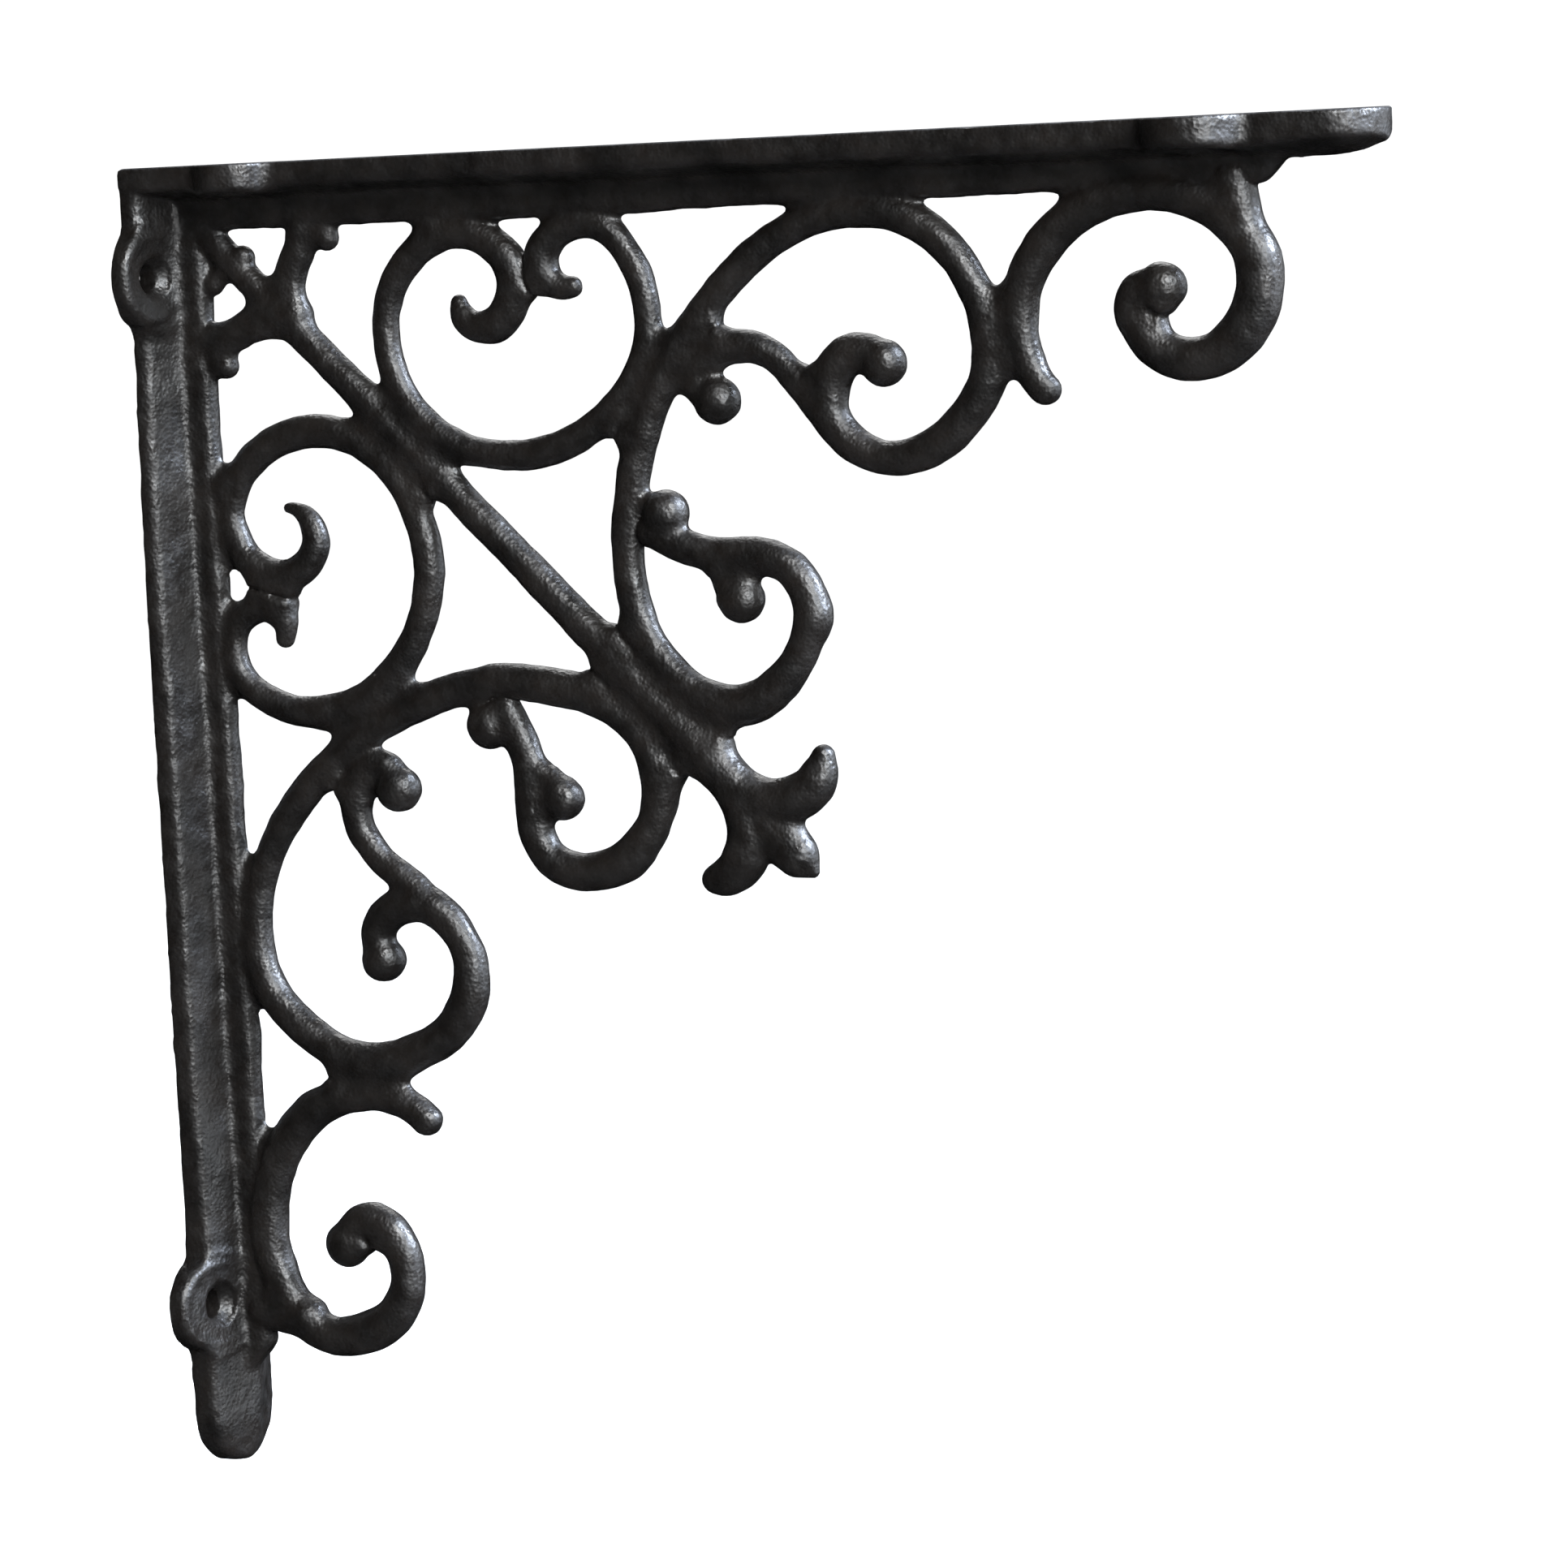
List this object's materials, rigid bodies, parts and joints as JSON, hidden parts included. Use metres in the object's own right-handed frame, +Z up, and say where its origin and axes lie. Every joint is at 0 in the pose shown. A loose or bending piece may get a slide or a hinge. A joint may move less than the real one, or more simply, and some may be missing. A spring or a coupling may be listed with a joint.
{
  "type": "shelf bracket",
  "caption": "Cast iron shelf bracket with wall and shelf straps, screw ears and mirrored scrollwork ending in a fleur-de-lis finial.",
  "frame": {"origin": "on the flat back of the wall strap, on its centreline, 110 mm below the shelf face", "axes": "+X out from the wall along the shelf strap, +Y across the straps, +Z up"},
  "size_m": [0.2324, 0.0336, 0.2334],
  "materials": {
    "iron": "black painted sand casting, semi-gloss, fine grain"
  },
  "bodies": {
    "root": {"bracket": "iron"}
  },
  "joints": []
}
